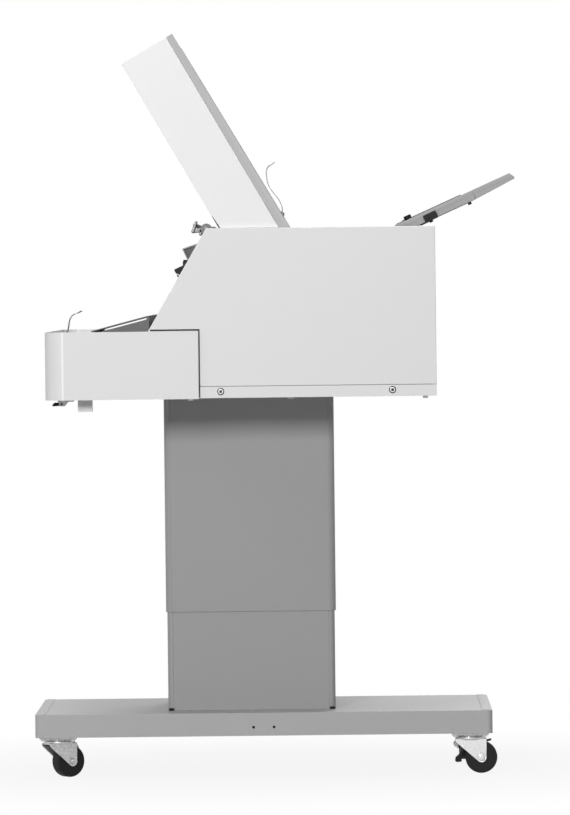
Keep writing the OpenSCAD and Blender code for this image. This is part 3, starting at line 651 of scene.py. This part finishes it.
def caster_plate_model():
    """Top plate with its ball races, at the swivel axis."""
    plate = block((-29 * MM, -29 * MM, 61 * MM), (29 * MM, 29 * MM, 64 * MM))
    modify(plate, "BEVEL", width=6 * MM, segments=5, limit_method="WEIGHT")
    soften(plate, 0.8 * MM, 2)
    race = rod((0, 0, 57.5 * MM), (0, 0, 61.2 * MM), 20 * MM, 64)
    soften(race, 1.3 * MM, 3, 60)
    balls = ring((0, 0, 57.4 * MM), Z, 18.6 * MM, 0.9 * MM)
    parts = [plate, race, shade(balls, 60)]
    for i in (-1, 1):
        for j in (-1, 1):
            parts.append(hex_head((i * 22.5 * MM, j * 22.5 * MM, 61 * MM), (0, 0, -1)))
    return join(parts)


def brake_ribs_model():
    """Grip ribs under the foot pedal, at the swivel axis of its caster."""
    ribs = []
    for step in range(4):
        x = -21.2 + 2.0 * step
        rib = prism([(x, 17.2), (x + 1, 17.2), (x + 1, 19.4), (x, 19.4)], -9, 9)
        ribs.append(soften(rib, 0.3 * MM, 1))
    return join(ribs)


def casters():
    wheel = caster_wheel_model()
    fork = caster_fork_model()
    plate = caster_plate_model()
    ribs = brake_ribs_model()
    tab = soften(prism([(22, 50.5), (33, 53.5), (33.5, 51.2), (24, 48.4)], -9, 9), 0.5 * MM, 2)
    plates = []
    for name, turn in CASTERS.items():
        spot = Matrix.Translation(caster_spot(name))
        swing = spot @ Matrix.Rotation(math.radians(turn), 4, "Z")
        axle = Matrix.Translation((17.5 * MM, 0, 25 * MM))
        rolled = copy_of(wheel, swing @ axle)
        keep(rolled, "caster_wheel_" + name + "_tyre", "wheel_" + name, "tyre", ["caster_wheel_" + name], True)
        keep(copy_of(fork, swing), "caster_fork_" + name + "_steel", "swivel_" + name, "zinc",
             ["caster_fork_" + name])
        plates.append(copy_of(plate, spot))
        if name in BRAKED:
            dress("caster_brake_" + name, "brake_" + name, "black", 1.0, 3)
            keep(copy_of(ribs, swing), "brake_ribs_" + name, "brake_" + name, "black")
            keep(copy_of(tab, swing), "fork_bumper_" + name, "swivel_" + name, "black")
    keep(join(plates), "caster_top_plates", "stand", "zinc", ["caster_plates"])
    for model in (wheel, fork, plate, ribs, tab):
        bpy.data.objects.remove(model)


def sleeve(node, inset_x):
    """A column sleeve with its folded seams pressed in near the corners."""
    body = worked(node)
    low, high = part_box(node)
    for x in (low.x + inset_x, high.x - inset_x):
        for y in (low.y, high.y):
            drill(body, block((x - 0.35 * MM, y - 0.5 * MM, low.z - MM), (x + 0.35 * MM, y + 0.5 * MM, high.z + MM)))
    return soften(body, 0.35 * MM, 2)


def column():
    keep(sleeve("column_lower", 9 * MM), "column_lower_sleeve", "stand", "column", ["column_lower"])
    keep(sleeve("column_upper", 9 * MM), "column_upper_sleeve", "machine", "column", ["column_upper"])
    low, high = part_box("column_lower")
    pads = []
    for x in (low.x + 5 * MM, high.x - 5 * MM):
        for y in (low.y - 1.2 * MM, high.y + 1.2 * MM):
            pad = rod((x, y, low.z), (x, y, low.z + 4 * MM), 4.4 * MM, 28)
            pads.append(soften(pad, 1.4 * MM, 3, 60))
    keep(join(pads), "column_corner_pads", "stand", "black")
    coat("lift_drive", "dark_steel")
    coat("lift_rod", "steel")


# ---------------------------------------------------------------- machine

def shell_panels():
    for node in ("side_panel_near", "side_panel_far"):
        dress(node, "machine", "panel", 1.6, 4)
    dress("bottom_pan", "machine", "panel", 0.9, 3)
    for node in ("rear_panel", "top_cover", "front_lower"):
        dress(node, "machine", "panel", 0.6, 2)
    dress("delivery_ramp", "machine", "ramp", 0.5, 2)


def fasteners():
    low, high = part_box("bottom_pan")
    screws, washers = [], []
    for x in (-80 * MM, 184.5 * MM):
        for side in (-1, 1):
            seat = Vector((x, side * high.y, low.z + 10 * MM))
            washers.append(soften(rod(seat, seat + side * 0.45 * MM * Y, 5.5 * MM, 40), 0.15 * MM, 1, 60))
            screws.append(pan_screw((x, side * high.y, low.z + 10 * MM), (0, side, 0), 4.35, 1.2))
    for x in (-127 * MM, 235.5 * MM):
        for side in (-1, 1):
            screws.append(hex_head((x, side * 320 * MM, low.z), (0, 0, -1), 8.0, 4.0))
    keep(join(screws), "body_screws", "machine", "steel", ["body_fasteners"])
    keep(join(washers), "screw_washers", "machine", "black")
    plugs = []
    for side in (-1, 1):
        x, y = 27 * MM, side * 330 * MM
        plug = rod((x, y, low.z - 3 * MM), (x, y, low.z + 0.5 * MM), 4.5 * MM)
        plugs.append(soften(plug, 1.2 * MM, 3, 60))
    keep(join(plugs), "pan_plugs", "machine", "button")
    # painted shade: thin black strips in the gap above and behind the catch tray's rear edge, standing for the dark
    # gap
    gap_shade_strips = []
    for side in (-1, 1):
        y0, y1 = sorted((side * 349.8 * MM, side * 350.9 * MM))
        gap_shade_strips.append(block((-188 * MM, y0, 698.2 * MM), (-111.6 * MM, y1, 700.6 * MM)))
        gap_shade_strips.append(block((-113.2 * MM, y0, 595 * MM), (-111.6 * MM, y1, 699 * MM)))
    for shade_strip in gap_shade_strips:
        soften(shade_strip, 0.3 * MM, 2)
    keep(join(gap_shade_strips), "tray_gap_painted_shade", "machine", "roller")


def inside():
    for node, finish in (
        ("chassis_frame", "chassis"), ("platen", "dark_steel"), ("carriage_rail", "steel"),
        ("main_board", "board"), ("power_supply", "zinc"), ("drive_motors", "dark_steel"),
        ("drive_belt", "roller"), ("pulley_drive", "steel"), ("pulley_idle", "steel"),
        ("feed_roller", "roller"), ("pinch_rollers", "roller"),
    ):
        coat(node, finish)
    dress("pinch_bar", "pinch_arms", "dark_steel", 0.4, 1)
    dress("carriage", "carriage", "grey", 2.0, 3)
    dress("tool_holder", "tool", "steel", 0.8, 2)


def controls():
    dress("control_panel", "machine", "black", 0.6, 2)
    dress("power_inlet", "machine", "black", 0.8, 2)
    dress("power_switch", "rocker", "red", 0.5, 2)
    for name in ("start", "stop", "menu"):
        dress("button_" + name, "button_" + name, "button", 0.9, 3)
    low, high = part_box("control_panel")
    glass = block(
        (low.x + 13 * MM, low.y + 86 * MM, high.z - 1 * MM),
        (high.x - 13 * MM, high.y - 16 * MM, high.z - 0.3 * MM),
    )
    inset(glass, lambda c, n: n.z > 0.9, 4 * MM, -0.2 * MM)
    keep(soften(glass, 0.2 * MM, 1), "status_screen", "machine", "screen")


def release_handle():
    """The lever across the front: shaft, bent arms, paddles and the grip between them."""
    parts = [
        rod((-99.5 * MM, -334.5 * MM, 854.5 * MM), (-99.5 * MM, 334.5 * MM, 854.5 * MM), 4 * MM, 32),
        rod((-117.2 * MM, -322 * MM, 860.5 * MM), (-117.2 * MM, 322 * MM, 860.5 * MM), 3.3 * MM, 32),
    ]
    for side in (-1, 1):
        y = side * 323 * MM
        hub = rod((-99.5 * MM, y - 3.6 * MM, 854.5 * MM), (-99.5 * MM, y + 3.6 * MM, 854.5 * MM), 6.6 * MM, 48)
        inset(hub, lambda c, n: abs(n.y) > 0.95, 1.6 * MM, -0.7 * MM)
        arm = prism([(-100, 858.5), (-119.5, 854.5), (-121, 850.5), (-119.5, 848.2), (-99.5, 850.2)],
                    y / MM - 2.6, y / MM + 2.6)
        paddle = prism([(-112.6, 866.2), (-116.6, 867.0), (-123.4, 850.6), (-121.2, 847.6), (-118.0, 849.2)],
                       y / MM - 3.6, y / MM + 3.6)
        parts += [soften(hub, 0.7 * MM, 3, 60), soften(arm, 0.9 * MM, 3), soften(paddle, 1.6 * MM, 4)]
    for piece in parts[:2]:
        soften(piece, 0.6 * MM, 2, 60)
    keep(join(parts), "release_handle", "release", "lever", ["release_lever"])
    hooks = []
    for side in (-1, 1):
        y0, y1 = sorted((side * 318, side * 326))
        hook = prism([(3, -1.4), (3.4, -5), (6.4, -8.4), (9.8, -6.2), (8.2, -1.2)], y0, y1, FRONT)
        hooks.append(soften(hook, 0.7 * MM, 2))
    keep(join(hooks), "release_hooks", "release", "black")


def front():
    dress("front_cover", "cover", "panel", 0.6, 2)
    dress("exit_channel", "cover", "channel", 0.5, 2)
    dress("cover_grip", "cover", "black", 1.2, 3)
    release_handle()
    core = prism([(30.3, 3.6), (53.8, 3.6), (54.1, -0.4), (45.3, -13.4), (30.3, 0.7)], -299.2, 299.2, FRONT)
    keep(soften(core, 0.3 * MM, 1), "channel_brush", "cover", "brush")
    lines = []
    for side in (-1, 1):
        y0, y1 = sorted((side * 295.5, side * 296.4))
        line = prism([(83.0, 2.6), (84.9, 2.6), (84.9, -5.4), (83.0, -8.0)], y0, y1, FRONT)
        lines.append(soften(line, 0.2 * MM, 1))
    keep(join(lines), "grip_light_lines", "cover", "button")


# ---------------------------------------------------------------- sheet holder and trays

def holder_point(x, z, y=0.0):
    """A point in the holder's own leaning frame, in millimetres."""
    return HOLDER @ Vector((x * MM, y * MM, z * MM))


def holder_shadow_gap():
    """Dark strips as painted shadow in the open end of the seam behind the holder's back sheet."""
    shadow_strips = []
    for side in (-1, 1):
        y0, y1 = sorted((side * 344.8, side * 345.3))
        strip = prism([(-80, 45.2), (-77.6, 43.6), (-79.4, 68), (-80, 68)], y0, y1, HOLDER)
        shadow_strips.append(soften(strip, 0.1 * MM, 1))
    # painted shadow: dark rubber strips where the seam's opening lies in shade
    keep(join(shadow_strips), "holder_seam_painted_shadow", "holder", "roller")


def holder():
    holder_shadow_gap()
    dress("holder_box", "holder", "holder", 1.2, 3)
    dress("holder_guide", "holder", "guide", 0.4, 2)
    leg = [(14.6, 18.3), (20.9, 30.5), (19.6, 69), (22.3, 78.6), (32, 93.7), (42, 95)]
    near = [holder_point(x, z, -14) for x, z in leg]
    far = [holder_point(x, z, 14) for x, z in reversed(leg)]
    ends = [holder_point(14.6, 18.3, y) for y in (-23, 23)]
    finger = bent_wire(ends[:1] + near + far + ends[1:], 0.8 * MM)
    keep(shade(finger, 60), "finger_wire", "finger", "zinc", ["holder_finger"])


def tray_point(u, n, y):
    """A point in the feed tray's own sloping frame, in millimetres."""
    return TRAY @ Vector((u * MM, y * MM, n * MM))


def rail_fittings():
    """Black clamps and screws on the tray's side rails."""
    parts = []
    for side in (-1, 1):
        y0, y1 = sorted((side * 302.8, side * 308.8))
        clamp = prism([(48, -16.4), (48, -4.5), (69.5, -4.5), (69.5, -16.4)], y0, y1, TRAY)
        parts.append(soften(clamp, 0.9 * MM, 3))
    for side in (-1, 1):
        screw = rod(tray_point(54, -10.4, side * 308.2), tray_point(54, -10.4, side * 309.6), 2.6 * MM, 28)
        parts.append(soften(screw, 0.5 * MM, 2, 60))
    for u in (57, 122.5):
        head = rod(tray_point(u, -14.6, -300.5), tray_point(u, -19.4, -300.5), 2.9 * MM, 28)
        inset(head, lambda c, n: n.z < -0.8, 0.9 * MM, -0.8 * MM)
        parts.append(soften(head, 0.6 * MM, 2, 60))
    keep(join(parts), "rail_clamps", "tray", "black")


def trays():
    rail_fittings()
    dress("feed_tray", "tray", "feed", 0.3, 2)
    dress("feed_extension", "extension", "feed", 0.3, 2)
    dress("side_guide_near", "guide_near", "grey", 0.5, 2)
    dress("side_guide_far", "guide_far", "grey", 0.5, 2)
    dress("guide_knob", "knob", "black", 2.4, 4)
    dress("catch_tray", "catch", "tray", 0.7, 3)
    dress("tray_latch", "latch", "black", 0.6, 2)
    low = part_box("wire_stop")[0]
    spots = [(0, 0), (3, 10), (9, 31), (21, 37)]
    leg = [(low.x + (1 + x) * MM, low.z + (1 + z) * MM) for x, z in spots]
    half = 14 * MM
    near = [Vector((x, -half, z)) for x, z in leg]
    far = [Vector((x, half, z)) for x, z in reversed(leg)]
    start = Vector((leg[0][0], -half - 9 * MM, leg[0][1]))
    end = Vector((leg[0][0], half + 9 * MM, leg[0][1]))
    wire = bent_wire([start] + near + far + [end], 1.0 * MM)
    keep(shade(wire, 60), "stop_wire", "stop", "steel", ["wire_stop"])


# ---------------------------------------------------------------- floor, light and camera

def white_where_seen(name, level):
    """Pale floor: white away from the object, with its soft shadow kept close by."""
    f = Finish(name)
    f.set("Base Color", grey(level))
    f.set("Roughness", 0.9)
    path = f.node("ShaderNodeLightPath")
    seen = path["Is Camera Ray"] + path["Is Glossy Ray"] + path["Is Transmission Ray"]
    near = f.node("ShaderNodeVectorMath", {"operation": "LENGTH"}, {0: f.place((1.0, 1.0, 1.0))})["Value"]
    share = 0.9 + 0.1 * near.above(0.35, 0.75)
    glow = f.node("ShaderNodeEmission", None, {"Color": (1, 1, 1, 1), "Strength": 1.0})["Emission"]
    base = Wire(f, f.shader.outputs["BSDF"])
    factor = f.node("ShaderNodeMath", {"operation": "MINIMUM"}, {0: seen, 1: 1.0})["Value"] * share
    both = f.node("ShaderNodeMixShader", None, {0: factor, 1: base, 2: glow})["Shader"]
    f.feed(f.tree.nodes["Material Output"].inputs["Surface"], both)
    return f.material


def studio():
    nothing_selected()
    bpy.ops.mesh.primitive_plane_add(size=60, location=(0, 0, 0))
    floor = bpy.context.object
    floor.name = "studio_floor"
    floor.data.materials.append(white_where_seen("studio floor", 0.33))
    world = bpy.data.worlds.new("studio")
    bpy.context.scene.world = world
    world.use_nodes = True
    tree = world.node_tree
    tree.nodes["Background"].inputs["Color"].default_value = (1, 1, 1, 1)
    tree.nodes["Background"].inputs["Strength"].default_value = 0.12
    seen = tree.nodes.new("ShaderNodeBackground")
    seen.inputs["Color"].default_value = (1, 1, 1, 1)
    seen.inputs["Strength"].default_value = 1.0
    path = tree.nodes.new("ShaderNodeLightPath")
    either = tree.nodes.new("ShaderNodeMath")
    either.operation = "MAXIMUM"
    tree.links.new(path.outputs["Is Camera Ray"], either.inputs[0])
    tree.links.new(path.outputs["Is Glossy Ray"], either.inputs[1])
    any_of = tree.nodes.new("ShaderNodeMath")
    any_of.operation = "MAXIMUM"
    tree.links.new(either.outputs[0], any_of.inputs[0])
    tree.links.new(path.outputs["Is Transmission Ray"], any_of.inputs[1])
    mixer = tree.nodes.new("ShaderNodeMixShader")
    tree.links.new(any_of.outputs[0], mixer.inputs[0])
    tree.links.new(tree.nodes["Background"].outputs[0], mixer.inputs[1])
    tree.links.new(seen.outputs[0], mixer.inputs[2])
    tree.links.new(mixer.outputs[0], tree.nodes["World Output"].inputs["Surface"])
    lamp("key", (-1.5, -7.8, 2.4), (0, 0, 0.65), 1.15, 325)
    lamp("side", (-4.5, -2.0, 3.0), (0, 0, 0.8), 1.6, 36)
    lamp("back", (1.5, 4.5, 2.6), (0, 0, 0.7), 2.5, 70)
    lamp("top", (-0.3, -0.8, 4.6), (0, 0, 0.4), 2.0, 105)


def lamp(name, at, aim, size, power):
    nothing_selected()
    bpy.ops.object.light_add(type="AREA", location=at)
    made = bpy.context.object
    made.name = "lamp_" + name
    made.data.size = size
    made.data.energy = power
    made.rotation_mode = "QUATERNION"
    made.rotation_quaternion = (Vector(aim) - Vector(at)).to_track_quat("-Z", "Y")


def camera():
    nothing_selected()
    bpy.ops.object.camera_add()
    made = bpy.context.object
    made.data.sensor_width = 36.0
    made.data.lens = 317.67
    made.data.clip_end = 100.0
    yaw, pitch, roll = 0.00653, -0.01789, -0.01146
    turn = Matrix.Rotation(yaw, 4, "Z") @ Matrix.Rotation(math.pi / 2 + pitch, 4, "X")
    made.matrix_world = Matrix.Translation((0.0909, -11.4189, 0.7764)) @ turn @ Matrix.Rotation(roll, 4, "Z")
    bpy.context.scene.camera = made


foot()
casters()
column()
shell_panels()
fasteners()
inside()
controls()
front()
holder()
trays()
studio()
camera()
bpy.context.scene.view_settings.view_transform = "Standard"
